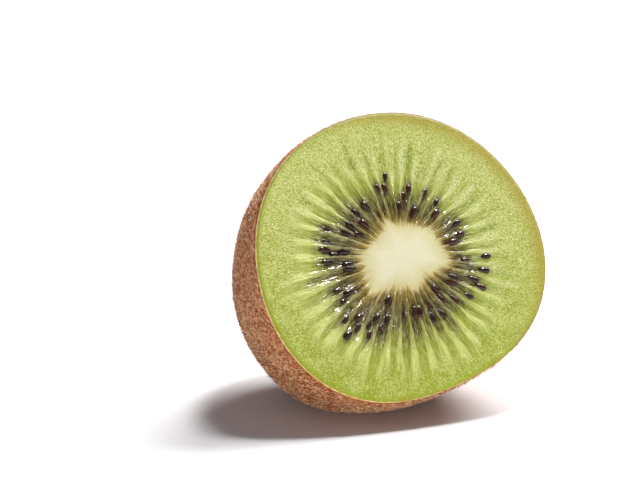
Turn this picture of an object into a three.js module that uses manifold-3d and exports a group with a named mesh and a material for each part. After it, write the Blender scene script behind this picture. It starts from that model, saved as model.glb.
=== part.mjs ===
import * as THREE from 'three';
import { mergeVertices } from 'three/addons/utils/BufferGeometryUtils.js';
import Module from 'manifold-3d';

// Half a kiwi fruit, cut across its middle. It rests on its skin, with the cut face leaning back.
// Millimetres, +Z up. The origin is the middle of the small flat spot that it rests on.
// The half is shaped about its own axis first, with the cut face up at y = 0 and the far end below,
// and the scene graph then leans it back. Angles round the axis run from +X towards the top of the
// face, anticlockwise as the face is seen.

// The half
const CUT_RADIUS = 25.7; // mean radius of the cut face
const HALF_LENGTH = 34.7; // from the cut face to the far end
const SIDE_POWER = 2.4; // of the side's superellipse: 2 is an ellipse, and more is fuller
const FACE_LEAN = radians(25.8); // of the cut face, back from upright
const FACE_CENTRE = new THREE.Vector3(2.94, -10.32, 27.05);

// Waves round the cut's outline: how many, how high, and the angle of the first crest in degrees
const CUT_WAVES = [[2, 1.12, 18.9], [3, 0.54, -11.6], [4, 0.29, -30.8]];

// Corners of the pale core: the angle in degrees, and the distance from the middle
const CORE_CORNERS = [
  [-15, 8.9], [5, 7.8], [32, 7.7], [60, 5.4], [105, 5.9], [135, 4.7],
  [172, 7.1], [200, 7.5], [224, 8.9], [245, 5.7], [287, 6.1], [316, 5.5],
];

// Relief of the cut face
const CORE_RISE = 0.3; // the firm core stands proud
const CHAMBERS = 40; // seed chambers round the core
const FIRST_CHAMBER = radians(2); // angle of the middle of the first one
const CHAMBER_END = 18.5; // where the chambers run out
const CHAMBER_DEPTH = 0.45; // of a chamber's middle, below the walls beside it
const FLESH_RISE = 0.15; // the outer flesh swells a little
const RIM_DROP = 0.16; // the flesh draws back from the skin's cut edge

// Seeds
const SEED_LENGTH = 2.15;
const SEED_WIDTH = 1.08;
const SEED_THICKNESS = 1.1;
const SEED_TAPER = 0.3; // narrower towards the core, wider away from it
const SEED_PROUD = 0.12; // of a seed's middle, above the flesh round it
const FIRST_ROW = 8.2; // distance of row a from the middle
const ROW_PITCH = 1.8;
const SEED_STAGGER = 0.37; // seeds in a chamber lie to its left and right by turns
const SEED_JITTER = 0.25;
const SEED_TURN = radians(26); // range of a seed's random turn
const DRAW_SEED = 20;

// The rows, a to f, that hold a seed in each chamber in turn
const SEED_ROWS = ('- bc c - b c c a bc a cd c - b b a ab bd d bcd bd b d cd e def cde acd - b b b bc c ' +
  'ab c bd bde e ce').split(' ');

// The far end: a shallow dimple with the woody scar and five dried sepals
const DIMPLE_RADIUS = 8;
const DIMPLE_DEPTH = 1.3;
const SCAR_RADIUS = 2.6;
const SCAR_HEIGHT = 1.5;
const SEPALS = 5;
const SEPAL_LENGTH = 4.4;
const SEPAL_WIDTH = 2.8;
const SEPAL_THICKNESS = 0.8;
const SEPAL_LIFT = radians(8); // of the outer end, off the skin

// The side is slightly uneven
const LUMP_HEIGHT = 0.16;

// Facets
const STEPS_ROUND = 2 * CHAMBERS; // one down the middle of each chamber and one along each wall
const STEPS_ALONG = 15;
const FACE_RINGS = [25.2, 23, 20.5, 18, 15.5, 13, 10.8, 9.2, 7.8, 6.4, 4.8]; // radii at the mean outline

const wasm = await Module();
wasm.setup();

function radians(degrees) {
  return (degrees * Math.PI) / 180;
}

// Draws from -0.5 to 0.5, the same on every run
function seededDraws(seed) {
  let state = seed;
  return () => {
    state = (Math.imul(state, 1664525) + 1013904223) >>> 0;
    return state / 2 ** 32 - 0.5;
  };
}

function smoothStep(from, to, value) {
  return THREE.MathUtils.smoothstep(value, from, to);
}

// The radius of an outline at an angle: a circle with a few waves round it
function waveRadius(radius, waves, angle) {
  return waves.reduce((sum, [count, height, crest]) => (
    sum + height * Math.cos(count * (angle - radians(crest)))
  ), radius);
}

// The radius of the core at an angle: its outline runs straight from corner to corner
function coreRadius(angle) {
  const fromFirst = (bearing) => {
    const turn = bearing - radians(CORE_CORNERS[0][0]);
    return THREE.MathUtils.euclideanModulo(turn, 2 * Math.PI);
  };
  const turn = fromFirst(angle);
  const before = CORE_CORNERS.findLastIndex(([bearing]) => fromFirst(radians(bearing)) <= turn);
  const [cornerBefore, reachBefore] = CORE_CORNERS[before];
  const [cornerAfter, reachAfter] = CORE_CORNERS[(before + 1) % CORE_CORNERS.length];
  const gone = turn - fromFirst(radians(cornerBefore));
  const left = THREE.MathUtils.euclideanModulo(fromFirst(radians(cornerAfter)) - turn, 2 * Math.PI);
  return (reachBefore * reachAfter * Math.sin(gone + left))
    / (reachBefore * Math.sin(gone) + reachAfter * Math.sin(left));
}

// Height of the cut face: the core is a low dome, each chamber sinks between its two walls, and the
// flesh outside swells slightly
function faceHeight(radius, angle) {
  const coreEdge = coreRadius(angle);
  const dome = CORE_RISE * Math.max(0, 1 - (radius / coreEdge) ** 2);
  const acrossChamber = Math.cos(CHAMBERS * (angle - FIRST_CHAMBER));
  const inChambers = smoothStep(coreEdge - 0.3, coreEdge + 1.5, radius)
    * (1 - smoothStep(CHAMBER_END - 6, CHAMBER_END, radius));
  const swell = FLESH_RISE * smoothStep(CHAMBER_END - 4, CHAMBER_END + 2, radius);
  return dome - CHAMBER_DEPTH * inChambers * (0.5 + 0.5 * acrossChamber) + swell;
}

// Slow unevenness of the side, none at the cut edge
function lump(angle, depth) {
  const fade = smoothStep(0, 0.3 * HALF_LENGTH, depth);
  return LUMP_HEIGHT * fade * Math.sin(5 * angle + 0.19 * depth) * Math.cos(2 * angle - 0.31 * depth);
}

// The dimple at the far end: a smooth bowl that meets the end with no edge
function dimple(radius) {
  return DIMPLE_DEPTH * Math.max(0, 1 - (radius / DIMPLE_RADIUS) ** 2) ** 2;
}

// How far below the cut face the side lies at a radius
function sideDepth(radius) {
  return HALF_LENGTH * (1 - (radius / CUT_RADIUS) ** SIDE_POWER) ** (1 / SIDE_POWER);
}

// Profile of a round half of the mean radius, from the far end along the side and across the face
function roundProfile() {
  const points = [];
  for (let step = 0; step <= STEPS_ALONG; step += 1) {
    const turn = (step / STEPS_ALONG) * (Math.PI / 2);
    const radius = CUT_RADIUS * Math.sin(turn) ** (2 / SIDE_POWER);
    const depth = step === STEPS_ALONG ? RIM_DROP : HALF_LENGTH * Math.cos(turn) ** (2 / SIDE_POWER);
    points.push(new THREE.Vector2(radius, -depth));
  }
  FACE_RINGS.forEach((radius) => points.push(new THREE.Vector2(radius, 0)));
  points.push(new THREE.Vector2(0, 0));
  return points;
}

// A closed solid for joining and cutting, from a geometry whose shared vertices are merged
function solidFrom(geometry) {
  const bare = geometry.index ? geometry.clone() : mergeVertices(geometry);
  bare.deleteAttribute('normal');
  bare.deleteAttribute('uv');
  const merged = mergeVertices(bare, 1e-5);
  const corners = merged.index.array;
  const kept = [];
  for (let i = 0; i < corners.length; i += 3) {
    const [a, b, c] = corners.slice(i, i + 3);
    if (a !== b && b !== c && c !== a) kept.push(a, b, c);
  }
  return new wasm.Manifold(new wasm.Mesh({
    numProp: 3,
    vertProperties: new Float32Array(merged.attributes.position.array),
    triVerts: new Uint32Array(kept),
  }));
}

function geometryFrom(solid) {
  const mesh = solid.getMesh();
  const geometry = new THREE.BufferGeometry();
  geometry.setAttribute('position', new THREE.BufferAttribute(mesh.vertProperties, 3));
  geometry.setIndex(new THREE.BufferAttribute(mesh.triVerts, 1));
  geometry.computeVertexNormals();
  return geometry;
}

// The body of the half: the round shape, drawn out to the uneven outline, with the face's relief on
// top and the dimple in the far end
function halfBody() {
  const geometry = new THREE.LatheGeometry(roundProfile(), STEPS_ROUND, FIRST_CHAMBER);
  const position = geometry.attributes.position;
  for (let i = 0; i < position.count; i += 1) {
    const height = position.getY(i);
    const roundRadius = Math.hypot(position.getX(i), position.getZ(i));
    const angle = Math.atan2(-position.getZ(i), position.getX(i));
    const stretch = waveRadius(CUT_RADIUS, CUT_WAVES, angle) / CUT_RADIUS;
    const onFace = height === 0;
    const radius = roundRadius * stretch + (onFace ? 0 : lump(angle, -height));
    const onAxis = roundRadius < 1e-6;
    const placed = onAxis ? 0 : radius / roundRadius;
    const relief = onFace ? faceHeight(radius, angle) : 0;
    const hollow = height < -0.8 * HALF_LENGTH ? dimple(roundRadius) : 0;
    position.setXYZ(i, position.getX(i) * placed, height + relief + hollow, position.getZ(i) * placed);
  }
  return solidFrom(geometry);
}

// One seed: a drop with its narrow end towards the core, lying in its chamber
function seed(radius, angle, turn) {
  const drop = new THREE.SphereGeometry(1, 6, 4);
  const position = drop.attributes.position;
  for (let i = 0; i < position.count; i += 1) {
    const along = position.getY(i);
    const girth = 1 - SEED_TAPER * along;
    position.setXYZ(
      i,
      (position.getX(i) * girth * SEED_WIDTH) / 2,
      (along * SEED_LENGTH) / 2,
      (position.getZ(i) * girth * SEED_THICKNESS) / 2,
    );
  }
  const inward = new THREE.Vector3(-Math.cos(angle + turn), 0, Math.sin(angle + turn));
  const up = new THREE.Vector3(0, 1, 0);
  const across = new THREE.Vector3().crossVectors(inward, up);
  const place = new THREE.Matrix4().makeBasis(across, inward, up);
  const height = faceHeight(radius, angle) + SEED_PROUD;
  place.setPosition(radius * Math.cos(angle), height, -radius * Math.sin(angle));
  return solidFrom(drop.applyMatrix4(place));
}

// Every seed that shows, row by row in each chamber
function seeds() {
  const draw = seededDraws(DRAW_SEED);
  return SEED_ROWS.flatMap((rows, chamber) => {
    const middle = FIRST_CHAMBER + (chamber * 2 * Math.PI) / CHAMBERS;
    const filled = rows === '-' ? [] : [...rows];
    return filled.map((row, place) => {
      const radius = FIRST_ROW + ROW_PITCH * 'abcdef'.indexOf(row) + SEED_JITTER * 2 * draw();
      const side = (place + chamber) % 2 === 0 ? 1 : -1;
      const offset = side * SEED_STAGGER + SEED_JITTER * draw();
      return seed(radius, middle + offset / radius, SEED_TURN * draw());
    });
  });
}

// The woody scar at the far end: a low rough stub
function scar() {
  const foot = -HALF_LENGTH + DIMPLE_DEPTH;
  const profile = [
    [0, foot - SCAR_HEIGHT],
    [0.6 * SCAR_RADIUS, foot - 0.9 * SCAR_HEIGHT],
    [SCAR_RADIUS, foot - 0.3 * SCAR_HEIGHT],
    [SCAR_RADIUS, foot + 1],
    [0, foot + 1],
  ].map(([radius, height]) => new THREE.Vector2(radius, height));
  return solidFrom(new THREE.LatheGeometry(profile, 12));
}

// One dried sepal: a thin flake that leans out from the scar, with its outer end lifted
function sepal(angle) {
  const flake = new THREE.SphereGeometry(0.5, 8, 5).scale(SEPAL_LENGTH, SEPAL_THICKNESS, SEPAL_WIDTH);
  const reach = SCAR_RADIUS + 0.3 * SEPAL_LENGTH;
  flake.rotateZ(-SEPAL_LIFT);
  flake.translate(reach, dimple(reach) - sideDepth(reach), 0);
  flake.rotateY(angle);
  return solidFrom(flake);
}

function farEnd() {
  const sepals = Array.from({ length: SEPALS }, (_, i) => sepal((i * 2 * Math.PI) / SEPALS + 0.3));
  return [scar(), ...sepals];
}

// All that lies below the ground, in the half's own frame
function groundUnder(half) {
  const size = 4 * HALF_LENGTH;
  const ground = new THREE.BoxGeometry(size, size, size).translate(0, 0, -size / 2);
  half.updateMatrixWorld();
  return solidFrom(ground.applyMatrix4(half.matrixWorld.clone().invert()));
}

const kiwi = new THREE.Group();
const half = new THREE.Mesh(
  new THREE.BufferGeometry(),
  new THREE.MeshStandardMaterial({ color: 0xb9c46a, roughness: 0.4, metalness: 0 }),
);
half.name = 'kiwi_half';
half.position.copy(FACE_CENTRE);
half.rotation.x = Math.PI - FACE_LEAN;
kiwi.add(half);

// The seeds, the scar and the sepals grow on the half, and the flat spot is cut last
const grown = [...seeds(), ...farEnd()].reduce((whole, piece) => whole.add(piece), halfBody());
half.geometry = geometryFrom(grown.subtract(groundUnder(half)));

export default kiwi;
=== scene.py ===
"""Half a kiwi fruit: wet green cut face, dark seeds, brown skin, fuzz and the dry far end.

Shapes are worked out in millimetres on the fruit's own axes: a radius and an angle round the axis,
and a height above the cut face. placed() turns them to the part's frame, in metres.
"""

import bpy
import numpy as np
from mathutils import Matrix, Vector


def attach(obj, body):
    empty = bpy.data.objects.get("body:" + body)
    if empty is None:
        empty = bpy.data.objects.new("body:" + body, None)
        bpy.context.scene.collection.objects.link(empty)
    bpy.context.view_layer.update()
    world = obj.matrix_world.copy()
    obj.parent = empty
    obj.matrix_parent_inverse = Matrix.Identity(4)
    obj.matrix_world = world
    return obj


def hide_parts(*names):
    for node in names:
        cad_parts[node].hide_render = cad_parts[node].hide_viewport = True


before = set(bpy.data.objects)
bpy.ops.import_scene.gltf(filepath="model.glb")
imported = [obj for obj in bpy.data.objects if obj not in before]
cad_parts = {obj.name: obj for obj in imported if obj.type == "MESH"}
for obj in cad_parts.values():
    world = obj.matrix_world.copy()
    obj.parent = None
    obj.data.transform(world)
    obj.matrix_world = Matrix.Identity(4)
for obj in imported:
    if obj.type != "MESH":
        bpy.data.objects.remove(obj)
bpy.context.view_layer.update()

MM = 0.001
TURN = 2 * np.pi

# Random seeds of what is drawn for each piece
CHAMBER_DRAWS = 3
SEED_DRAWS = 9
FUZZ_DRAWS = 21
BRISTLE_DRAWS = 22
SEPAL_DRAWS = 71
DOWN_PLACES = 30
LONG_PLACES = 33
BRISTLE_PLACES = 34

# The half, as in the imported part. A wave round a circle is a count, a height and a crest in
# degrees. A corner of the core is a bearing in degrees and a radius.
CUT_RADIUS = 25.7
HALF_LENGTH = 34.7
SIDE_POWER = 2.4
FACE_LEAN = np.radians(25.8)
FACE_CENTRE = np.array([2.94, -10.32, 27.05])
CUT_WAVES = [(2, 1.12, 18.9), (3, 0.54, -11.6), (4, 0.29, -30.8)]
CORE_CORNERS = [
    (-15, 8.9), (5, 7.8), (32, 7.7), (60, 5.4), (105, 5.9), (135, 4.7),
    (172, 7.1), (200, 7.5), (224, 8.9), (245, 5.7), (287, 6.1), (316, 5.5),
]
LUMP_HEIGHT = 0.16
DIMPLE_RADIUS = 8.0
DIMPLE_DEPTH = 1.3
FAR_END = DIMPLE_DEPTH - HALF_LENGTH
SCAR_RADIUS = 2.6
SCAR_HEIGHT = 1.5
SCAR_HOLLOW = 0.55
SEPALS = 5
SEPAL_LENGTH = 4.4
SEPAL_WIDTH = 2.8
SEPAL_LIFT = np.radians(8)

# The cut face: its core, and the chambers between pale walls
CORE_RISE = 0.3
CORE_FRAY = 0.35
CHAMBERS = 40
PITCH = TURN / CHAMBERS
FIRST_CHAMBER = np.radians(2)
CHAMBER_END = 18.5
CHAMBER_DEPTH = 0.45
DARK_END = 15.8
DARK_WAVES = [(1, 2.7, 236), (2, 0.5, 20)]
DARK_SPREAD = 2.6
WALL_HALF = 0.115
WALL_SPREAD = 0.005
WALL_SPREAD_START = 8
WALL_WANDER = 0.02
WALL_SHIFT = 0.3
WALL_RIDGE = 0.2
RAY_END = 21.0
STAIN_LENGTH = 1.6
STAIN_WIDTH = 0.68

# Relief of the cut face, and its streaks: cells to the radian, length and random seed
FLESH_RISE = 0.15
STREAK_RELIEF = 0.16
WALL_RELIEF = 0.22
GRAIN_RELIEF = 0.035
GEL_RELIEF = 0.28
STRANDS = (34, 2.6, 6)
FINE_STRANDS = (80, 1.8, 7)
BEADS = (55, 0.8, 10)
RIM_DROP = 0.16
RIM_ROLL = 0.4
FLESH_INSET = 0.4

# Seeds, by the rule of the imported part. Each chamber has a word: its seeds' rows, a to f outwards,
# or - for none.
SEED_LENGTH = 2.15
SEED_WIDTH = 1.08
SEED_THICKNESS = 1.1
SEED_TAPER = 0.3
SEED_PROUD = 0.12
SEED_SINK = 0.34
SEED_SIZES = (0.9, 1.12)
FIRST_ROW = 8.2
ROW_PITCH = 1.8
SEED_STAGGER = 0.37
SEED_JITTER = 0.25
SEED_TURN = np.radians(26)
DRAW_SEED = 20
SEED_ROWS = (
    "- bc c - b c c a bc a cd c - b b a ab bd d bcd bd b d cd e def cde acd - b b b bc c "
    "ab c bd bde e ce"
).split()

# The skin, and its unevenness: height, cell size and random seed
SKIN_THICKNESS = 0.17
SKIN_FLOOR = 0.2
SKIN_UNEVEN = [(0.06, 0.7, 11), (0.06, 2.6, 12), (0.04, 0.4, 13)]
LIP_RAGGED = 0.07
RUST_START = 11.5
RUST_FULL = 4.0

# Hairs: how many, and the least and the most length, thickness, and lean in degrees
HAIR_SIDES = 3
HAIR_ROOT = 0.08
HAIR_CLEAR = 0.02
DOWN_PIECES = 3
DOWN_COUNT = 19500
DOWN = {"length": (0.4, 0.85), "thickness": (0.022, 0.036), "lean": (45, 80)}
LONG_COUNT = 15000
LONG = {"length": (0.7, 1.5), "thickness": (0.036, 0.058), "lean": (58, 80)}
BRISTLE_COUNT = 14000
BRISTLE = {"length": (0.7, 1.6), "thickness": (0.035, 0.06), "lean": (15, 65)}

# The view: the image is 640 by 480, and the camera stands to the left of the face and looks down
IMAGE_WIDTH = 640
FOCAL_PIXELS = 2861
SENSOR_WIDTH = 36
CAMERA_AZIMUTH = np.radians(-23.43)
CAMERA_ELEVATION = np.radians(12)
CAMERA_DISTANCE = 480
FACE_RIGHT = 13.55
FACE_DOWN = 2.54

# The stage
FLOOR_REACH = 4000
FLOOR_GAP = 0.02
FLOOR_COLOUR = (0.85, 0.85, 0.85, 1)
SKY_COLOUR = (0.93, 0.92, 1.06, 1)
SKY_STRENGTH = 0.15
BACKDROP_STRENGTH = 1.1
LIGHT_AIM = 20


# ---------------------------------------------------------------- shapes


def smooth_step(low, painted_light_above, value):
    """Rises from 0 at low to 1 at high, with no corner at either end. It falls where low is the
    larger one."""
    t = np.clip((value - low) / (painted_light_above - low), 0, 1)
    return t * t * (3 - 2 * t)


def wave_radius(mean, waves, angle):
    """A circle with a few waves round it: mean + height * cos(count * (angle - crest)) for each."""
    return mean + sum(h * np.cos(n * (angle - np.radians(c))) for n, h, c in waves)


def noise(points, cell, seed):
    """A smooth random field from -1 to 1: seeded values on a lattice of that cell, blended between
    the eight corners round each point."""
    size = 64
    lattice = np.random.default_rng(seed).uniform(-1, 1, (size, size, size))
    place = points / cell
    corner = np.floor(place).astype(int)
    share = place - corner
    share = share * share * (3 - 2 * share)
    total = 0
    for step in np.ndindex(2, 2, 2):
        weight = np.prod(np.where(step, share, 1 - share), axis=-1)
        at = (corner + step) % size
        total = total + weight * lattice[at[..., 0], at[..., 1], at[..., 2]]
    return total


def drawn(draw, least, most, shape, power=1):
    """Random numbers from least to most. A higher power makes large ones rarer."""
    return least + (most - least) * draw.random(shape) ** power


def unit(vectors):
    """The same directions at length 1."""
    return vectors / np.maximum(np.linalg.norm(vectors, axis=-1, keepdims=True), 1e-9)


def round_steps(count):
    """Even steps of angle once round."""
    return np.arange(count) * TURN / count


def steps_between(start, end, count):
    """Even steps between two ends, without the ends, as a column."""
    return np.linspace(start, end, count + 2)[1:-1, None]


def axes_points(radius, angle, height):
    """Polar places on the fruit's axes as (across, up the face, out of the face), in millimetres."""
    radius, angle, height = np.broadcast_arrays(radius, angle, height)
    return np.stack([radius * np.cos(angle), radius * np.sin(angle), height], -1)


def on_axis(*heights):
    """Points on the fruit's axis, at those heights."""
    return axes_points(0.0, 0.0, np.array(heights))


def placed(points):
    """Turns points on the fruit's axes to the part's frame, in metres: the face leans back, and its
    centre goes to its place."""
    across, up, out = np.moveaxis(points, -1, 0)
    lean, rise = np.sin(FACE_LEAN), np.cos(FACE_LEAN)
    turned = np.stack([across, up * lean - out * rise, up * rise + out * lean], -1)
    return (turned + FACE_CENTRE) * MM


def settled(points, floor=0.0):
    """Points on the fruit's axes in the part's frame, none of them lower than floor millimetres
    above the ground: this presses the flat spot."""
    points = placed(points)
    points[..., 2] = np.maximum(points[..., 2], floor * MM)
    return points


def core_edge(angle):
    """Radius of the core: straight from corner to corner, each a bearing in degrees and a radius."""
    corners = np.array(CORE_CORNERS, float)
    first = np.radians(corners[0, 0])
    bearing = np.append(np.radians(corners[:, 0]) - first, TURN)
    reach = np.append(corners[:, 1], corners[0, 1])
    turn = (angle - first) % TURN
    at = np.clip(np.searchsorted(bearing, turn, side="right") - 1, 0, len(corners) - 1)
    a, b = reach[at], reach[at + 1]
    wide, gone = bearing[at + 1] - bearing[at], turn - bearing[at]
    return a * b * np.sin(wide) / (a * np.sin(gone) + b * np.sin(wide - gone))


def lump(angle, depth):
    """Slow unevenness of the side: two waves round it that drift with depth, none at the cut."""
    fade = smooth_step(0, 0.3 * HALF_LENGTH, depth)
    return LUMP_HEIGHT * fade * np.sin(5 * angle + 0.19 * depth) * np.cos(2 * angle - 0.31 * depth)


def dimple(radius):
    """Height of the dimple's floor over the far end: most in its middle, and level at its edge."""
    return DIMPLE_DEPTH * np.maximum(0, 1 - (radius / DIMPLE_RADIUS) ** 2) ** 2


def side(turn, angle):
    """Radius and height of the side: a superellipse from the far end, turn 0, to the cut edge, turn
    pi / 2, drawn out to the cut's outline, with slow lumps and the dimple in the far end."""
    round_radius = CUT_RADIUS * np.abs(np.sin(turn)) ** (2 / SIDE_POWER)
    height = -HALF_LENGTH * np.sign(np.cos(turn)) * np.abs(np.cos(turn)) ** (2 / SIDE_POWER)
    stretch = wave_radius(CUT_RADIUS, CUT_WAVES, angle) / CUT_RADIUS
    radius = round_radius * stretch + lump(angle, -height)
    return radius, height + dimple(round_radius)


def side_frame(turn, angle):
    """Points of the side with the outward normal and the direction towards the cut edge, from
    differences over a small step."""
    step = 1e-3

    def at(t, a):
        radius, height = side(t, a)
        return axes_points(radius, a, height)

    along = unit(at(turn + step, angle) - at(turn - step, angle))
    across = unit(at(turn, angle + step) - at(turn, angle - step))
    return at(turn, angle), unit(np.cross(across, along)), along


# ---------------------------------------------------------------- meshes


def mesh_piece(name, points, faces, fields=None):
    """A piece from points in metres and arrays of faces, one array for each number of corners, with
    a float attribute for each field."""
    mesh = bpy.data.meshes.new(name)
    mesh.vertices.add(len(points))
    mesh.vertices.foreach_set("co", np.ascontiguousarray(points, np.float32).ravel())
    corners = np.concatenate([f.ravel() for f in faces])
    sizes = np.concatenate([np.full(len(f), f.shape[1]) for f in faces])
    mesh.loops.add(len(corners))
    mesh.loops.foreach_set("vertex_index", corners.astype(np.int32))
    mesh.polygons.add(len(sizes))
    starts = np.concatenate([[0], np.cumsum(sizes)[:-1]])
    mesh.polygons.foreach_set("loop_start", starts.astype(np.int32))
    mesh.polygons.foreach_set("use_smooth", np.ones(len(sizes), bool))
    mesh.update(calc_edges=True)
    for field, values in (fields or {}).items():
        attribute = mesh.attributes.new(field, "FLOAT", "POINT")
        attribute.data.foreach_set("value", np.ascontiguousarray(values, np.float32).ravel())
    piece = bpy.data.objects.new(name, mesh)
    bpy.context.scene.collection.objects.link(piece)
    return piece


def ringed_faces(rows, columns):
    """Faces of a closed body: quads between its rings, which come one after another, and a fan at
    each end to the two poles, which come last. The rings run so that the faces point outwards."""
    row, column = np.meshgrid(np.arange(rows - 1), np.arange(columns), indexing="ij")
    beside = (column + 1) % columns
    a, b = row * columns + column, row * columns + beside
    quads = np.stack([a, b, b + columns, a + columns], -1).reshape(-1, 4)
    here = np.arange(columns)
    there = (here + 1) % columns
    last = (rows - 1) * columns
    first_pole = np.full(columns, rows * columns)
    first_fan = np.stack([there, here, first_pole], -1)
    last_fan = np.stack([last + here, last + there, first_pole + 1], -1)
    return [quads, np.concatenate([first_fan, last_fan])]


def ringed_piece(name, rings, poles, fields=None):
    """One closed body from rings of points, (rows, columns, 3) in metres, and its two poles."""
    points = np.concatenate([rings.reshape(-1, 3), poles])
    ends = {
        field: np.concatenate([values.ravel(), [values[0].mean(), values[-1].mean()]])
        for field, values in (fields or {}).items()
    }
    return mesh_piece(name, points, ringed_faces(*rings.shape[:2]), ends)


def repeated_piece(name, bodies, faces, fields=None):
    """One piece of many like bodies, (bodies, points, 3) in metres, from the faces of one."""
    shift = np.arange(len(bodies))[:, None, None] * bodies.shape[1]
    all_faces = [(f + shift).reshape(-1, f.shape[1]) for f in faces]
    return mesh_piece(name, bodies.reshape(-1, 3), all_faces, fields)


# ---------------------------------------------------------------- seeds' places


def seeded_draws(seed):
    """Draws from -0.5 to 0.5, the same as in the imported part."""
    state = seed
    while True:
        state = (state * 1664525 + 1013904223) % 2**32
        yield state / 2**32 - 0.5


def seed_places():
    """Radius, angle and turn of every seed: rows a to f in each chamber, left and right by turns."""
    draws = seeded_draws(DRAW_SEED)
    places = []
    for chamber, rows in enumerate(SEED_ROWS):
        middle = FIRST_CHAMBER + chamber * PITCH
        for place, row in enumerate(rows.replace("-", "")):
            radius = FIRST_ROW + ROW_PITCH * "abcdef".index(row) + SEED_JITTER * 2 * next(draws)
            side_of = 1 if (place + chamber) % 2 == 0 else -1
            offset = side_of * SEED_STAGGER + SEED_JITTER * next(draws)
            places.append((radius, middle + offset / radius, SEED_TURN * next(draws)))
    return np.array(places)


# ---------------------------------------------------------------- the cut face


def fibre(radius, angle, round_cells, along, seed):
    """Random streaks along the radius, from -1 to 1: noise on a drum of that many cells to the
    radian, stretched to a length of along millimetres."""
    return noise(axes_points(round_cells, angle, radius / along), 1, seed)


def face_form(radius, edge):
    """Height of the face without its chambers: a low dome inside the core's edge, and outer flesh
    that stands a little higher."""
    dome = CORE_RISE * np.maximum(0, 1 - (radius / edge) ** 2)
    return dome + FLESH_RISE * smooth_step(CHAMBER_END - 4, CHAMBER_END + 2, radius)


def seed_stain(radius, angle):
    """How near a place lies to a seed, 1 at its middle: a bell curve along the radius times a
    narrower one across it."""
    stain = np.zeros_like(radius)
    for seed_radius, seed_angle, _ in seed_places():
        along = radius * np.cos(angle - seed_angle) - seed_radius
        beside = radius * np.sin(angle - seed_angle)
        facing = np.cos(angle - seed_angle) > 0
        blot = np.exp(-((along / STAIN_LENGTH) ** 2) - (beside / STAIN_WIDTH) ** 2) * facing
        stain = np.maximum(stain, blot)
    return stain


class CutFace:
    """The cut face as a function of radius and angle: its height, and the fields that its finish
    reads. depth is how far a place lies outside the core, share how far along its chamber's dark
    part, gap how far from a wall's side, ray whether on a wall's ray (towards -1) or between two
    (towards 1), stain how near to a seed, and tone a random value for each chamber."""

    def __init__(self, radius, angle):
        self.edge = core_edge(angle)
        self.flat = axes_points(radius, angle, 0)
        self.strands = fibre(radius, angle, *STRANDS)
        fray = CORE_FRAY * noise(self.flat, cell=1.2, seed=4) + 0.3 * self.strands
        self.depth = radius - self.edge - fray
        self.stain = seed_stain(radius, angle)
        self.divide(radius, angle)
        self.height = self.relief(radius, angle)

    def divide(self, radius, angle):
        """Chambers and walls by turns round the core. Each wall is shifted a little and wanders,
        and each chamber stays dark as far as its own distance."""
        draw = np.random.default_rng(CHAMBER_DRAWS)
        wander = WALL_WANDER * noise(axes_points(radius / 3, angle, 0), cell=0.9, seed=8)
        place = (angle + wander - FIRST_CHAMBER) / PITCH
        chamber = np.round(place).astype(int) % CHAMBERS
        spread = DARK_SPREAD * (draw.random(CHAMBERS) - 0.5)
        self.tone = draw.random(CHAMBERS)[chamber]
        shift = 0.5 + WALL_SHIFT * (draw.random(CHAMBERS) - 0.5)
        reach = wave_radius(DARK_END, DARK_WAVES, angle) + spread[chamber] - self.edge
        self.share = np.clip(self.depth / reach, 0, 2)

        before = np.floor(place).astype(int)
        walls = [place - n - shift[n % CHAMBERS] for n in (before - 1, before, before + 1)]
        off = np.abs(walls).min(axis=0)
        self.beside = off * PITCH * np.maximum(radius, 1)
        half_wall = WALL_HALF + WALL_SPREAD * np.maximum(radius - WALL_SPREAD_START, 0) ** 2
        self.gap = self.beside - half_wall + 0.1 * self.strands
        self.fade = 1 - smooth_step(CHAMBER_END - 2, RAY_END, radius + 2.5 * self.strands)
        self.ray = np.clip(4 * off - 1, -1, 1) * self.fade

    def relief(self, radius, angle):
        """Height of the face: its form, less the chambers' hollows, with streaks, ridges along the
        walls, fine grain, and gel round the seeds."""
        fine_strands = fibre(radius, angle, *FINE_STRANDS)
        beads = fibre(radius, angle, *BEADS)
        started = smooth_step(-0.2, 1.2, self.depth)
        inside = smooth_step(-0.08, 0.42, self.gap) * started * smooth_step(1.1, 0.6, self.share)
        hollow = CHAMBER_DEPTH * (1 - 0.6 * np.minimum(self.share, 1)) * inside * (1 + 0.3 * beads)
        streaky = started * self.fade * (0.3 + 0.7 * smooth_step(1.3, 0.8, self.share))
        streaks = STREAK_RELIEF * (0.6 * self.strands + 0.8 * fine_strands + 0.7 * beads) * streaky
        along_wall = np.exp(-((self.beside / WALL_RIDGE) ** 2)) * started
        along_wall = along_wall * smooth_step(1.4, 0.8, self.share)
        ridges = WALL_RELIEF * along_wall * (0.5 + 0.5 * self.strands + beads)
        grain = GRAIN_RELIEF * noise(self.flat, cell=0.5, seed=9) * smooth_step(-1, 2, self.depth)
        gel = GEL_RELIEF * self.stain * inside * (1 + 0.7 * beads)
        return face_form(radius, self.edge) - hollow + streaks + ridges + grain + gel


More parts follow.
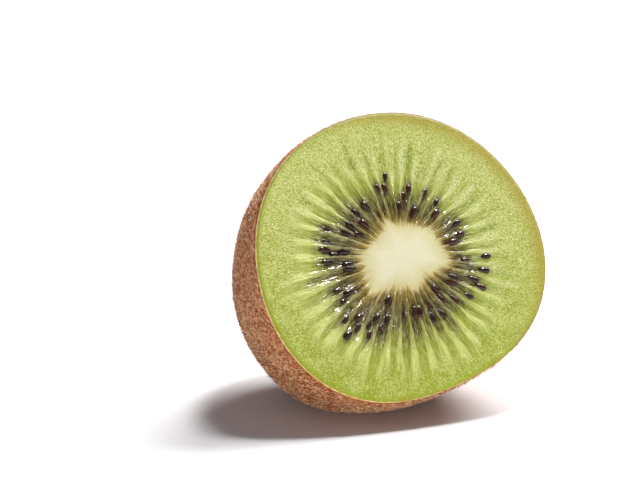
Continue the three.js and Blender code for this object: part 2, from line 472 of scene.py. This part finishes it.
def make_flesh():
    """The flesh: rings from the far end up inside the skin, then in over the cut face, close
    together where the chambers are."""
    columns, wall_rows = 900, 5
    core = np.linspace(0, 4, 6, False)[1:]
    chambers = np.linspace(4, 18, 70, False)
    outside = np.linspace(18, CUT_RADIUS, 28)
    share = np.concatenate([core, chambers, outside])[:, None] / CUT_RADIUS
    angle = round_steps(columns)
    edge = wave_radius(CUT_RADIUS, CUT_WAVES, angle) - SKIN_THICKNESS
    radius = share * edge
    face = CutFace(radius, np.broadcast_to(angle, radius.shape))
    roll = RIM_DROP * smooth_step(RIM_ROLL, 0.0, edge - radius) ** 2
    top = axes_points(radius, angle, face.height - roll)

    wall_radius, wall_height = side(steps_between(np.pi / 2, 0, wall_rows), angle)
    wall = axes_points(wall_radius - FLESH_INSET, angle, wall_height + FLESH_INSET)
    rings = np.concatenate([top, wall])[::-1]
    inner = np.broadcast_to(edge, (wall_rows, columns))
    beyond = CutFace(inner, np.broadcast_to(angle, inner.shape))
    fields = {
        field: np.concatenate([getattr(face, field), getattr(beyond, field)])[::-1]
        for field in ("depth", "share", "gap", "ray", "stain", "tone")
    }
    fields["rim"] = np.concatenate([edge - radius, np.zeros((wall_rows, columns))])[::-1]
    poles = on_axis(FAR_END + 2 * FLESH_INSET, CORE_RISE)
    return ringed_piece("flesh", settled(rings, FLESH_INSET), settled(poles, FLESH_INSET), fields)


# ---------------------------------------------------------------- the seeds


def seat_height(radius, angle):
    """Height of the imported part's cut face, on which a seed sits: hollows between smooth ribs."""
    edge = core_edge(angle)
    hollow = 0.5 + 0.5 * np.cos(CHAMBERS * (angle - FIRST_CHAMBER))
    started = smooth_step(edge - 0.3, edge + 1.5, radius)
    ended = smooth_step(CHAMBER_END - 6, CHAMBER_END, radius)
    return face_form(radius, edge) - CHAMBER_DEPTH * hollow * started * (1 - ended)


def make_seeds():
    """The seeds: spheres drawn out, narrower towards the core, each laid in its chamber."""
    rows, columns = 9, 14
    lie, round_ = steps_between(0, np.pi, rows), round_steps(columns)
    along = np.broadcast_to(np.cos(lie), (rows, columns))
    girth = np.sin(lie) * (1 - SEED_TAPER * along)
    local = np.stack([girth * np.cos(round_), along, girth * np.sin(round_)], -1)
    tips = np.array([[0, 1, 0], [0, -1, 0]], float)
    body = np.concatenate([local.reshape(-1, 3), tips])
    body *= np.array([SEED_WIDTH, SEED_LENGTH, SEED_THICKNESS]) / 2

    radius, angle, turn = seed_places().T
    count = len(radius)
    draw = np.random.default_rng(SEED_DRAWS)
    size = drawn(draw, *SEED_SIZES, (count, 1, 1))
    sunk = drawn(draw, 0, SEED_SINK, count, 1.5)
    inward = -axes_points(1, angle + turn, 0)
    up = np.broadcast_to([0, 0, 1.0], inward.shape)
    frames = np.stack([np.cross(inward, up), inward, up], 1)
    centre = axes_points(radius, angle, seat_height(radius, angle) + SEED_PROUD - sunk)
    points = np.einsum("vi,sij->svj", body, frames) * size + centre[:, None]
    tone = np.repeat(draw.random(count), len(body))
    return repeated_piece("seeds", placed(points), ringed_faces(rows, columns), {"tone": tone})


# ---------------------------------------------------------------- the skin


def make_skin():
    """The skin: the side with fine unevenness along its normals, over the cut edge, and back down
    inside to the far end."""
    columns, outer_rows, inner_rows = 480, 188, 8
    angle = round_steps(columns)
    turn = np.linspace(0, np.pi / 2, outer_rows + 1)[1:, None]
    points, normal, _ = side_frame(*np.broadcast_arrays(turn, angle))
    uneven = sum(height * noise(points, cell, seed) for height, cell, seed in SKIN_UNEVEN)
    fade = smooth_step(np.pi / 2, np.pi / 2 - 0.08, turn)
    outer = points + normal * (uneven * fade)[..., None]
    outer[-1, :, 2] = -RIM_DROP

    rim = wave_radius(CUT_RADIUS, CUT_WAVES, angle)
    ragged = LIP_RAGGED * noise(axes_points(rim, angle, 0), cell=0.6, seed=14)
    lip = [
        axes_points(rim - 0.03, angle, 0.4 * ragged - 0.5 * RIM_DROP),
        axes_points(rim - 0.5 * SKIN_THICKNESS, angle, ragged - 0.3 * RIM_DROP),
        axes_points(rim - SKIN_THICKNESS, angle, ragged - 1.2 * RIM_DROP),
    ]
    radius, height = side(steps_between(np.pi / 2, 0, inner_rows), angle)
    inner = axes_points(radius - SKIN_THICKNESS, angle, height + SKIN_THICKNESS)
    outside = settled(np.concatenate([outer, np.stack(lip)]))
    rings = np.concatenate([outside, settled(inner, SKIN_FLOOR)])

    lip_field, end_field = np.zeros((2, *rings.shape[:2]))
    lip_field[outer_rows - 1 : outer_rows + len(lip)] = 1
    reach = np.linalg.norm(outer[..., :2], axis=-1) + 2.5 * noise(outer, cell=1.8, seed=15)
    lower_half = outer[..., 2] < -HALF_LENGTH / 2
    end_field[:outer_rows] = smooth_step(RUST_START, RUST_FULL, reach) * lower_half
    poles = settled(on_axis(FAR_END, FAR_END + 0.3))
    return ringed_piece("skin", rings, poles, {"lip": lip_field, "end": end_field})


# ---------------------------------------------------------------- the fuzz


def scatter(count, seed, far=0.02, near=np.pi / 2 - 0.01):
    """Places spread evenly over the side: turns drawn by the area of each band, angles evenly."""
    draw = np.random.default_rng(seed)
    bands = np.linspace(far, near, 400)
    radius, height = side(bands, 0 * bands)
    width = np.hypot(np.diff(radius), np.diff(height)) * (radius[1:] + radius[:-1])
    total = np.concatenate([[0], np.cumsum(width)])
    turn = np.interp(draw.random(count) * total[-1], total, bands)
    return turn, draw.random(count) * TURN


def hair_sizes(draw, count, length, thickness, lean, power=1):
    """Length, thickness and lean of each hair, the lean in radians. A higher power makes long hairs
    rarer."""
    shape = (count, 1)
    lengths = drawn(draw, *length, shape, power)
    return lengths, drawn(draw, *thickness, shape), np.radians(drawn(draw, *lean, shape))


def hair_faces():
    """Faces of one hair: quads from its foot to its middle, a fan to its tip, and a flat foot."""
    foot = np.arange(HAIR_SIDES)
    beside = (foot + 1) % HAIR_SIDES
    middle = foot + HAIR_SIDES
    tip = np.full(HAIR_SIDES, 2 * HAIR_SIDES)
    quads = np.stack([foot, beside, beside + HAIR_SIDES, middle], -1)
    fan = np.stack([middle, beside + HAIR_SIDES, tip], -1)
    return [quads, np.concatenate([fan, foot[None, ::-1]])]


def hairs(name, places, sizes, seed, bend=0.35, own=0.3):
    """Hairs as thin three-sided spikes with a bend in their middle. Neighbours lean much the same
    way and have much the same tone, apart from each hair's droop, up to bend, and its own tone."""
    length, thickness, lie = sizes
    count = len(length)
    draw = np.random.default_rng(seed)
    root, normal, along = side_frame(*places)
    across = np.cross(normal, along)
    way = 1.2 * np.pi * noise(root, cell=0.8, seed=50) + np.pi * noise(root, cell=6.0, seed=51)
    way = (way + 0.5 * draw.normal(size=count))[:, None]
    comb = unit((0.6 * np.sin(way) - 0.15) * along + (0.5 + np.cos(way)) * across)
    lean = np.cos(lie) * normal + np.sin(lie) * comb
    droop = bend * draw.random((count, 1)) * normal
    bent = unit(lean - droop + 0.35 * draw.normal(size=(count, 3)))
    foot = root - HAIR_ROOT * normal
    middle = root + 0.5 * length * lean
    tip = middle + 0.5 * length * bent

    first = unit(np.cross(lean, across + 0.01))
    second = np.cross(lean, first)
    spokes = [thickness * (np.cos(a) * first + np.sin(a) * second) for a in round_steps(HAIR_SIDES)]
    rings = [foot + spoke for spoke in spokes] + [middle + 0.8 * spoke for spoke in spokes]
    bodies = placed(np.stack([*rings, tip], 1))
    clear = bodies[..., 2].min(1) > HAIR_CLEAR * MM

    by_rim = smooth_step(-1.3, -0.3, root[:, 2] + 0.8 * noise(root, cell=0.6, seed=53))
    patches = 0.5 + 0.8 * noise(root, cell=0.26, seed=52) + own * (draw.random(count) - 0.5)
    tone = np.clip(patches - 0.5 * by_rim, 0, 1)
    out = np.repeat([0, 0.5, 1], [HAIR_SIDES, HAIR_SIDES, 1])
    fields = {"tone": np.repeat(tone[clear], len(out)), "out": np.tile(out, clear.sum())}
    return repeated_piece(name, bodies[clear], hair_faces(), fields)


def make_fuzz():
    """The fuzz: short down all over the skin, and longer hairs lying on it."""
    draw = np.random.default_rng(FUZZ_DRAWS)
    pieces = []
    for number in range(DOWN_PIECES):
        places = scatter(DOWN_COUNT, DOWN_PLACES + number)
        sizes = hair_sizes(draw, DOWN_COUNT, **DOWN)
        pieces.append(hairs(f"down_{number + 1}", places, sizes, seed=40 + number))
    places = scatter(LONG_COUNT, LONG_PLACES)
    sizes = hair_sizes(draw, LONG_COUNT, power=2, **LONG)
    pieces.append(hairs("long_hairs", places, sizes, seed=43, bend=0.3, own=1.4))
    return pieces


def make_bristles():
    """Rusty bristles that stand round the far end, fewer further out."""
    draw = np.random.default_rng(BRISTLE_DRAWS)
    turn, angle = scatter(BRISTLE_COUNT, BRISTLE_PLACES, far=0.04, near=0.5)
    near = draw.random(len(turn)) < smooth_step(0.5, 0.15, turn + 0.05 * np.sin(5 * angle))
    sizes = hair_sizes(draw, near.sum(), **BRISTLE)
    return hairs("end_bristles", (turn[near], angle[near]), sizes, seed=44, bend=0.5)


# ---------------------------------------------------------------- the dry far end


def make_scar():
    """The woody scar where the stalk was: a flattened dome with a hollow in its middle and a rough
    surface, from its tip round to a pole inside the fruit."""
    rows, columns = 30, 64
    lie, angle = steps_between(0, np.pi, rows), round_steps(columns)
    ragged = 1 + 0.1 * np.sin(3 * angle + 1) + 0.07 * np.sin(7 * angle)
    radius = SCAR_RADIUS * np.sin(lie) ** 0.7 * ragged
    hollow = SCAR_HOLLOW * np.exp(-((radius / 0.9) ** 2)) * (lie < np.pi / 2)
    points = axes_points(radius, angle, FAR_END - SCAR_HEIGHT * np.cos(lie) ** 3 + hollow)
    points[..., 2] += 0.16 * noise(points, cell=0.5, seed=61) + 0.1 * noise(points, cell=0.25, seed=62)
    tip = FAR_END - SCAR_HEIGHT + SCAR_HOLLOW
    return ringed_piece("scar", placed(points), placed(on_axis(tip, tip + SCAR_HEIGHT + 1)))


def sepal_body(number, draw, share, loop):
    """One dried sepal, lying outwards along the first axis: a flat loop of points carried from its
    foot, share 0, to its end, share 1, wide in its middle, lifted, curled and crumpled."""
    length = SEPAL_LENGTH * (0.8 + 0.35 * draw.random())
    curl, roll = 0.5 + 0.9 * draw.random(), 0.5 * draw.normal()
    half_width = SEPAL_WIDTH / 2 * np.sin(np.pi * share**0.8) ** 0.6
    beside = half_width * np.cos(loop) + 0.4 * roll * share
    out = SCAR_RADIUS - 0.7 + length * share - 0.25 * length * curl * share**3
    fold = 0.3 * beside**2 * share + 0.16 * np.sin(5 * beside + 9 * share + number)
    rise = 0.25 + np.sin(SEPAL_LIFT) * length * share + curl * share**2 * 1.3 + fold * 0.6
    thick = (0.09 + 0.05 * np.sin(np.pi * share)) * np.sin(loop)
    local = np.stack(np.broadcast_arrays(out, beside, FAR_END - rise + thick), -1)
    ends = local[[0, -1]].mean(1) + np.array([[-0.1, 0, 0], [0.1, 0, 0]])
    return np.concatenate([local.reshape(-1, 3), ends])


def make_sepals():
    """The dried sepals, thin flakes set round the scar, each turned to its place."""
    rows, columns = 22, 20
    share, loop = steps_between(0, 1, rows), round_steps(columns)
    draw = np.random.default_rng(SEPAL_DRAWS)
    bodies = []
    for sepal in range(SEPALS):
        turn = sepal * TURN / SEPALS + 0.3
        out, beside, height = sepal_body(sepal, draw, share, loop).T
        cosine, sine = np.cos(turn), np.sin(turn)
        turned = np.stack([out * cosine - beside * sine, out * sine + beside * cosine, height], -1)
        turned[:, 2] += 0.06 * noise(turned, cell=0.5, seed=72)
        bodies.append(turned)
    return repeated_piece("sepals", placed(np.stack(bodies)), ringed_faces(rows, columns))


# ---------------------------------------------------------------- finishes


def colour(red, green, blue):
    """A screen colour, 0 to 255, as linear light with alpha."""
    value = np.array([red, green, blue]) / 255
    linear = np.where(value <= 0.04045, value / 12.92, ((value + 0.055) / 1.055) ** 2.4)
    return (*map(float, linear), 1.0)


class Wire:
    """A value on its way through a finish. Arithmetic on it adds Math nodes."""

    def __init__(self, finish, socket):
        self.finish = finish
        self.socket = socket

    def math(self, operation, *values):
        return self.finish.add("Math", {"operation": operation}, dict(enumerate(values)))

    def __add__(self, other):
        return self.math("ADD", self, other)

    def __radd__(self, other):
        return self.math("ADD", other, self)

    def __sub__(self, other):
        return self.math("SUBTRACT", self, other)

    def __rsub__(self, other):
        return self.math("SUBTRACT", other, self)

    def __mul__(self, other):
        return self.math("MULTIPLY", self, other)

    def __rmul__(self, other):
        return self.math("MULTIPLY", other, self)

    def over(self, low, painted_light_above):
        """Rises smoothly from 0 at low to 1 at high."""
        settings = {"interpolation_type": "SMOOTHSTEP"}
        inputs = {"Value": self, "From Min": low, "From Max": painted_light_above}
        return self.finish.add("MapRange", settings, inputs)


class Finish:
    """A material under way: a Principled shader and the nodes that feed it."""

    def __init__(self, name, **constants):
        self.material = bpy.data.materials.new(name)
        self.material.use_nodes = True
        self.tree = self.material.node_tree
        self.shader = self.tree.nodes["Principled BSDF"]
        for socket, value in constants.items():
            self.shader.inputs[socket.replace("_", " ")].default_value = value

    def add(self, kind, settings=None, inputs=None, output=0):
        """A node of that kind: its settings, then its sockets' values or links."""
        node = self.tree.nodes.new("ShaderNode" + kind)
        for name, value in (settings or {}).items():
            if name == "stops":
                self.set_stops(node.color_ramp, value)
            else:
                setattr(node, name, value)
        for socket, value in (inputs or {}).items():
            self.feed(node.inputs[socket], value)
        return Wire(self, node.outputs[output])

    def set_stops(self, ramp, stops):
        while len(ramp.elements) < len(stops):
            ramp.elements.new(1.0)
        for element, (position, shade) in zip(ramp.elements, stops):
            element.position = position
            element.color = shade

    def feed(self, socket, value):
        if isinstance(value, Wire):
            self.tree.links.new(value.socket, socket)
        else:
            socket.default_value = value

    def mix(self, share, low, painted_light_above, blend="MIX"):
        """One colour to another, by a share."""
        settings = {"data_type": "RGBA", "blend_type": blend, "clamp_factor": True}
        return self.add("Mix", settings, {0: share, 6: low, 7: painted_light_above}, 2)

    def ramp(self, share, stops):
        return self.add("ValToRGB", {"stops": stops}, {0: share})

    def vector(self, operation, *values, output=0):
        return self.add("VectorMath", {"operation": operation}, dict(enumerate(values)), output)

    def field(self, name):
        return self.add("Attribute", {"attribute_name": name}, output=2)

    def axes(self):
        """Places on the fruit's axes in millimetres: across, out of the face, and down the face."""
        place = self.add("TexCoord", output=3)
        inputs = {
            "Vector": place,
            "Location": [float(c * MM) for c in FACE_CENTRE],
            "Rotation": (float(np.pi - FACE_LEAN), 0.0, 0.0),
            "Scale": (MM, MM, MM),
        }
        return self.add("Mapping", {"vector_type": "TEXTURE"}, inputs)

    def grain(self, place, size, detail=2.0, rough=0.5):
        """Soft random grain from 0 to 1, of a size in millimetres."""
        inputs = {"Vector": place, "Scale": 1 / size, "Detail": detail, "Roughness": rough}
        return self.add("TexNoise", {}, inputs)

    def cells(self, place, size):
        """Packed round cells of a size in millimetres: 0 in each middle, towards 1 between them."""
        return self.add("TexVoronoi", {}, {"Vector": place, "Scale": 1 / size})

    def drum(self, place, round_cells, along):
        """Places of the face on a drum with that many cells to the radian, and with cells of along
        millimetres down its length, so that a pattern on it runs outwards."""
        flat = self.vector("MULTIPLY", place, (1.0, 0.0, 1.0))
        radius = self.vector("LENGTH", flat, output=1)
        rim = self.vector("MULTIPLY", self.vector("NORMALIZE", flat), (round_cells, 0.0, round_cells))
        return self.vector("ADD", rim, self.add("CombineXYZ", {}, {1: radius * (1 / along)}))

    def strands(self, place, round_cells, along):
        """Random streaks along the radius, from 0 to 1."""
        return self.grain(self.drum(place, round_cells, along), 1.0, 1.0)

    def uneven(self, place, reach):
        """Places pushed about by soft grain, which bends a pattern of cells about as large."""
        push = self.add("TexNoise", {}, {"Vector": place, "Scale": 1.2, "Detail": 1.0}, 1)
        return self.vector("MULTIPLY_ADD", push, (reach, reach, reach), place)

    def towards(self, place, degrees):
        """How far a place of the face lies in a direction, from -1 to 1 across the cut."""
        a = np.radians(degrees)
        way = (float(np.cos(a)) / CUT_RADIUS, 0.0, float(-np.sin(a)) / CUT_RADIUS)
        return self.vector("DOT_PRODUCT", place, way, output=1)

    def bump(self, height, strength, depth):
        """Relief on the surface: a height of 1 stands out by depth, in millimetres."""
        inputs = {"Strength": strength, "Distance": depth * MM, "Height": height}
        return self.add("Bump", {}, inputs)

    def finish(self, **links):
        for socket, value in links.items():
            self.feed(self.shader.inputs[socket.replace("_", " ")], value)
        return self.material


class FleshFinish(Finish):
    """Wet green flesh. Each method gives the colour of one part of the face, or lays it over what
    is there, and whole() joins them."""

    def __init__(self):
        super().__init__(
            "wet flesh",
            Subsurface_Weight=0.2,
            Subsurface_Scale=0.0003,
            Subsurface_Radius=(1.0, 0.8, 0.3),
            Coat_Roughness=0.1,
            Specular_IOR_Level=0.4,
        )
        self.depth = self.field("depth")
        self.share = self.field("share")
        self.rim = self.field("rim")
        self.place = self.axes()
        self.grit = self.grain(self.place, 0.2, 2.0, 0.6)
        self.packed = self.flesh_cells(84.0, 0.36)
        self.bundles = self.strands(self.place, 9.0, 9.0)
        self.fibres = self.strands(self.place, 40.0, 2.4)
        self.hairline = self.strands(self.place, 90.0, 1.6)

    def flesh_cells(self, round_cells, along):
        """Cells of the flesh, in rows that run outwards but bent, 0 in each middle."""
        return self.cells(self.uneven(self.drum(self.place, round_cells, along), 1.4), 1.0)

    def outer(self):
        """Outside the chambers: packed cells, paler in their middles, with pale specks that are partly
        painted glints, rays that fade outwards, and painted light that makes the green and the specks
        paler towards the top.
        """
        ray = self.field("ray")
        broad = self.grain(self.place, 3.5)
        large = self.flesh_cells(32.0, 0.9)
        # painted light: the flesh and its specks are paler and greyer towards the top, deeper green
        # lower down
        painted_light_above = self.towards(self.place, 80).over(-0.9, 0.7)
        shade = self.mix(painted_light_above, colour(142, 152, 24), colour(174, 177, 84))
        shade = self.mix(broad.over(0.35, 0.65) * 0.4, shade, colour(190, 194, 112))
        streaks = ray.over(-0.1, 0.8) * (self.fibres + self.bundles - 0.5).over(0.28, 0.58)
        shade = self.mix(streaks * 0.95, shade, colour(124, 138, 20))
        paler = (0 - ray).over(-0.1, 0.8) * self.bundles.over(0.3, 0.55)
        shade = self.mix(paler * 0.75, shade, colour(206, 210, 144))
        # pale specks in the cells' middles: partly the flesh's own pale cells, partly painted glints
        specks_and_glints = (1 - self.packed).over(0.5, 0.85) * self.grit.over(0.4, 0.6)
        pale = self.mix(painted_light_above, colour(218, 222, 128), colour(224, 228, 172))
        shade = self.mix(specks_and_glints * 0.9, shade, pale)
        shade = self.mix((1 - large).over(0.62, 0.9) * 0.25, shade, pale)
        return self.mix(self.packed.over(0.5, 0.8) * 0.65, shade, colour(122, 138, 24))

    def chambers(self):
        """Chambers between walls: golden by the core, then brown, then green, with pale and dark
        hairlines, and darker round the seeds."""
        run = (self.share + (self.fibres - 0.5) * 0.4 + (self.hairline - 0.5) * 0.25) * 0.8
        inner = self.ramp(
            run,
            [
                (0.0, colour(184, 162, 92)),
                (0.08, colour(150, 126, 56)),
                (0.17, colour(120, 98, 44)),
                (0.30, colour(94, 76, 36)),
                (0.42, colour(98, 88, 38)),
                (0.54, colour(116, 116, 34)),
                (0.66, colour(136, 144, 34)),
                (0.80, colour(152, 162, 40)),
            ],
        )
        own = self.field("tone") * self.share.over(0.1, 0.5)
        inner = self.mix(own * 0.35, inner, colour(140, 140, 60))
        inner = self.mix((1 - self.depth.over(0.3, 2.8)) * 0.7, inner, colour(170, 140, 56))
        inner = self.mix(self.hairline.over(0.5, 0.62) * 0.45, inner, colour(190, 184, 116))
        gaps = (1 - self.hairline.over(0.36, 0.46)) * (1 - self.share.over(0.45, 0.95) * 0.85)
        inner = self.mix(gaps * 0.9, inner, colour(40, 26, 10))
        wall = self.ramp(
            run,
            [
                (0.0, colour(196, 176, 110)),
                (0.12, colour(160, 142, 74)),
                (0.40, colour(166, 158, 92)),
                (0.62, colour(188, 190, 100)),
                (0.80, colour(202, 207, 120)),
            ],
        )
        wall = self.mix((1 - self.bundles.over(0.3, 0.55)) * 0.4, wall, inner)
        inside = (self.field("gap") + (self.hairline - 0.5) * 0.16).over(-0.06, 0.14)
        shade = self.mix(inside, wall, inner)
        stain = self.field("stain") * self.depth.over(0.0, 1.0)
        return self.mix(stain * 0.85, shade, colour(46, 32, 14))

    def with_core(self, face):
        """The cream core, with a fibrous edge."""
        cream = self.mix(self.depth.over(-4.0, 0.0), colour(210, 205, 172), colour(198, 190, 142))
        frayed = self.fibres.over(0.45, 0.75) * self.depth.over(-1.5, 0.5)
        cream = self.mix(frayed * 0.25, cream, colour(172, 158, 98))
        edge = self.depth + (self.hairline - 0.5) * 2.6 + (self.fibres - 0.5) * 2.2
        return self.mix(1 - edge.over(-0.8, 1.0), face, cream)

    def with_rim(self, face):
        """The band under the skin: narrow and green, the flesh's own colour, turned golden and wider
        towards the upper right as a painted glow of light shining through the skin, with painted shade
        along the very edge towards the top.
        """
        # painted light: golden is how far a place lies towards the upper right, where light shines
        # through the skin
        golden = self.towards(self.place, 40).over(-0.1, 0.8)
        painted_backlight_glow = (1 - self.rim.over(0.0, 4.5)) * golden
        face = self.mix(painted_backlight_glow * 0.6, face, colour(160, 156, 50))
        band = 1 - (self.rim * (1.2 - golden * 0.8) + self.grit - 0.5).over(0.0, 1.3)
        shade = self.mix(golden, colour(146, 154, 30), colour(156, 140, 36))
        face = self.mix(band * 0.8, face, shade)
        # painted shade: darker along the very edge towards the top
        top = self.towards(self.place, 80).over(0.2, 0.9)
        edge = (1 - self.rim.over(0.0, 0.7)) * top
        return self.mix(edge * 0.6, face, colour(126, 118, 24))

    def whole(self):
        """The face with all its parts, in relief, and wet where the chambers are."""
        ended = (self.share + (self.fibres - 0.5) * 0.5).over(0.9, 1.4)
        face = self.mix(ended, self.chambers(), self.outer())
        face = self.with_rim(self.with_core(face))
        wet = self.depth.over(0.3, 1.6) * (1 - self.share.over(0.65, 1.1))
        fibrous = self.depth.over(0.0, 1.5) * (1 - self.share.over(1.0, 1.7) * 0.7)
        cells = (1 - self.packed) * self.depth.over(-1.0, 2.0)
        beads = self.grain(self.place, 0.3, 1.0) * wet
        height = self.grit * 0.3 + cells * 0.5 + self.hairline * fibrous * 1.4 + beads * 1.4
        return self.finish(
            Base_Color=face,
            Roughness=0.46 + self.grit * 0.2 - wet * 0.4,
            Coat_Weight=wet * 0.9,
            Normal=self.bump(height, 0.9, 0.2),
        )


def seed_finish():
    """Smooth dark seeds, some browner than others."""
    f = Finish("wet seed", Coat_Weight=0.8, Coat_Roughness=0.06, Specular_IOR_Level=0.05)
    shade = f.mix(f.field("tone"), colour(30, 13, 4), colour(60, 29, 14))
    grain = f.grain(f.axes(), 0.25)
    relief = f.bump(grain, 0.4, 0.05)
    return f.finish(Base_Color=shade, Roughness=0.4 + grain * 0.15, Normal=relief)


def skin_finish():
    """Dry brown skin: mottled, with fine dark pits, paler bump tops and darker grooves between them as
    painted highlight and painted shade, a thin tan cut edge that turns golden-brown towards the lit
    right side as painted light, and a rusty far end.
    """
    f = Finish("brown skin", Specular_IOR_Level=0.2)
    place = f.axes()
    broad, middle = f.grain(place, 5.0, 3.0), f.grain(place, 0.9)
    bumps, pits = f.cells(place, 0.55), f.grain(place, 0.36, 2.0, 0.6)
    skin = f.mix(broad.over(0.3, 0.7), colour(172, 96, 50), colour(196, 120, 68))
    skin = f.mix(middle.over(0.45, 0.7) * 0.5, skin, colour(208, 140, 88))
    # painted highlight: paler in the middles of the bump cells, their raised tops
    skin = f.mix((1 - bumps).over(0.55, 0.85) * 0.7, skin, colour(240, 174, 116))
    skin = f.mix((1 - pits.over(0.34, 0.5)) * 0.9, skin, colour(72, 30, 10))
    # painted shade: darker at the edges of the bump cells, in the grooves between them
    skin = f.mix(bumps.over(0.5, 0.8) * 0.7, skin, colour(72, 34, 16))
    rusty = f.mix(pits.over(0.4, 0.6), colour(62, 30, 14), colour(138, 78, 40))
    skin = f.mix(f.field("end") * 0.8, skin, rusty)
    cut = f.mix(middle.over(0.35, 0.65), colour(204, 176, 100), colour(236, 216, 150))
    # painted light: the cut edge turns darker golden-brown towards the right, where the main light
    # falls
    painted_sunlit_side = f.towards(place, 22).over(-0.2, 0.8)
    cut = f.mix(painted_sunlit_side, cut, colour(140, 98, 42))
    skin = f.mix(f.field("lip") * 0.9, skin, cut)
    relief = f.bump(pits * 0.6 - bumps * 0.6, 0.5, 0.3)
    return f.finish(Base_Color=skin, Roughness=0.5 + pits * 0.2, Normal=relief)


def fuzz_finish(name, dark, light, tip):
    """Dry fuzz: from a dark to a light tone, hair by hair, and paler at the tips of light hairs."""
    f = Finish(name, Roughness=0.5, Specular_IOR_Level=0.12)
    tone = f.field("tone").over(0.2, 0.8)
    shade = f.mix(tone, dark, light)
    return f.finish(Base_Color=f.mix(f.field("out") * tone * 0.5, shade, tip))


def dry_finish(name, low, painted_light_above, crease):
    """Dry wood and sepals: two tones with darker creases."""
    f = Finish(name, Roughness=0.8, Specular_IOR_Level=0.2)
    place = f.axes()
    creases, broad = f.grain(place, 0.4, 4.0, 0.65), f.grain(place, 1.6)
    shade = f.mix(broad.over(0.35, 0.65), low, painted_light_above)
    shade = f.mix((1 - creases.over(0.36, 0.56)) * 0.85, shade, crease)
    return f.finish(Base_Color=shade, Normal=f.bump(creases, 0.8, 0.2))


# ---------------------------------------------------------------- the stage


def make_camera():
    """A long lens: the focal length in pixels, and the face's centre to the right and below."""
    a, e = CAMERA_AZIMUTH, CAMERA_ELEVATION
    right = np.array([np.cos(a), np.sin(a), 0])
    back = np.array([np.sin(a) * np.cos(e), -np.cos(a) * np.cos(e), np.sin(e)])
    up = np.cross(back, right)
    spot = FACE_CENTRE - FACE_RIGHT * right + FACE_DOWN * up + CAMERA_DISTANCE * back
    lens = bpy.data.cameras.new("camera")
    lens.sensor_width = SENSOR_WIDTH
    lens.lens = FOCAL_PIXELS * SENSOR_WIDTH / IMAGE_WIDTH
    lens.clip_start, lens.clip_end = 0.01, 50
    camera = bpy.data.objects.new("camera", lens)
    turned = Matrix(np.stack([right, up, back], 1).tolist()).to_4x4()
    camera.matrix_world = Matrix.Translation(Vector(spot * MM)) @ turned
    bpy.context.scene.collection.objects.link(camera)
    bpy.context.scene.camera = camera


def make_floor():
    """A plain white floor, a hair below the fruit."""
    corners = np.array([[-1, -1], [1, -1], [1, 1], [-1, 1]]) * FLOOR_REACH
    points = np.column_stack([corners, np.full(4, -FLOOR_GAP)]) * MM
    floor = mesh_piece("floor", points, [np.arange(4)[None]])
    white = Finish("white floor", Roughness=0.9, Specular_IOR_Level=0.1)
    floor.data.materials.append(white.finish(Base_Color=FLOOR_COLOUR))


def make_sky():
    """An even pale sky that lights the fruit softly and looks white itself."""
    world = bpy.data.worlds.new("sky")
    world.use_nodes = True
    tree = world.node_tree
    sky = tree.nodes["Background"]
    sky.inputs["Color"].default_value = SKY_COLOUR
    seen = tree.nodes.new("ShaderNodeLightPath")
    strength = tree.nodes.new("ShaderNodeMath")
    strength.operation = "MULTIPLY_ADD"
    strength.inputs[1].default_value = BACKDROP_STRENGTH - SKY_STRENGTH
    strength.inputs[2].default_value = SKY_STRENGTH
    tree.links.new(seen.outputs["Is Camera Ray"], strength.inputs[0])
    tree.links.new(strength.outputs[0], sky.inputs["Strength"])
    bpy.context.scene.world = world


def make_light(name, kind, towards, distance, strength, glossy=True, diffuse=True, **settings):
    """A soft light that looks at the fruit from a direction, at a distance in metres, and may leave
    no gloss on it or only gloss."""
    lamp = bpy.data.lights.new(name, kind)
    lamp.energy = strength
    for setting, value in settings.items():
        setattr(lamp, setting, value)
    light = bpy.data.objects.new(name, lamp)
    light.visible_glossy = glossy
    light.visible_diffuse = diffuse
    back = Vector(towards).normalized()
    light.rotation_mode = "QUATERNION"
    light.rotation_quaternion = back.to_track_quat("Z", "Y")
    light.location = back * distance + Vector((0, 0, LIGHT_AIM * MM))
    bpy.context.scene.collection.objects.link(light)


def make_lights():
    """Soft studio light: the main light high to the right and behind, a small one above, one above
    that only glints, and a broad low one in front."""
    sun_angle = np.radians(36)
    strip = {"shape": "RECTANGLE", "size": 0.26, "size_y": 0.08}
    broad = {"shape": "RECTANGLE", "size": 1.5, "size_y": 0.1}
    make_light("main light", "SUN", (0.66, 0.36, 0.75), 1.0, 4.3, angle=sun_angle)
    make_light("top light", "AREA", (0.26, 0.09, 0.96), 0.8, 4.2, size=0.14)
    make_light("glint light", "AREA", (0.22, 0.08, 0.96), 0.8, 7.5, diffuse=False, **strip)
    make_light("front light", "AREA", (-0.35, -1.0, 0.05), 1.1, 9.0, glossy=False, **broad)


# ---------------------------------------------------------------- everything together


def dress(piece, finish):
    """Gives a piece its finish, and says what it rides on and replaces."""
    piece.data.materials.append(finish)
    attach(piece, "root")
    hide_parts("kiwi_half")


make_camera()
make_floor()
make_sky()
make_lights()
bpy.context.scene.view_settings.view_transform = "Standard"

dress(make_flesh(), FleshFinish().whole())
dress(make_seeds(), seed_finish())
dress(make_skin(), skin_finish())
fuzz = fuzz_finish("tan fuzz", colour(150, 72, 34), colour(255, 208, 160), colour(255, 226, 188))
for piece in make_fuzz():
    dress(piece, fuzz)
rust = fuzz_finish("rusty bristles", colour(92, 42, 18), colour(192, 118, 66), colour(226, 164, 108))
dress(make_bristles(), rust)
wood = dry_finish("dry wood", colour(150, 128, 104), colour(204, 190, 170), colour(84, 58, 40))
dress(make_scar(), wood)
husk = dry_finish("dry sepal", colour(132, 88, 50), colour(190, 150, 106), colour(70, 40, 24))
dress(make_sepals(), husk)

bpy.context.view_layer.update()
